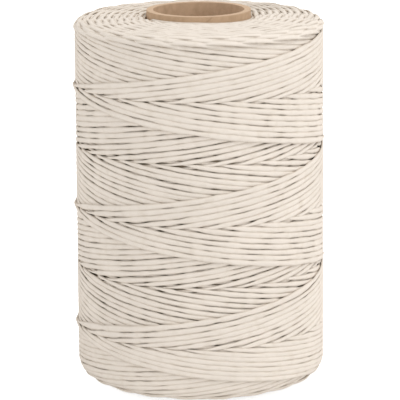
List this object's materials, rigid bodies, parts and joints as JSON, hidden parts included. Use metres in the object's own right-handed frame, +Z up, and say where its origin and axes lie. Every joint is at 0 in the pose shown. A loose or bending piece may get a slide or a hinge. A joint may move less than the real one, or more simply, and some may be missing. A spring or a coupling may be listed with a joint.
{
  "type": "cross-wound thread spool",
  "caption": "Cylindrical package of flat waxed thread, cross-wound on a plain paperboard core tube with an open bore.",
  "frame": {"origin": "centre of the core tube's lower rim, on the surface that the spool stands on", "axes": "+Z up along the tube's axis; -Y towards the viewer; the thread's two ends are tucked in on the +Y side"},
  "size_m": [0.083, 0.083, 0.124],
  "materials": {
    "core_board": "matte brown paperboard",
    "buried_thread": "waxed braid, in shade",
    "waxed_thread": "cream waxed flat braid, soft sheen"
  },
  "bodies": {
    "root": {"core_inner_ply": "core_board", "core_second_ply": "core_board", "core_third_ply": "core_board", "core_outer_ply": "core_board", "winding_buried_layers": "buried_thread", "winding_outer_layer": "waxed_thread"}
  },
  "joints": []
}
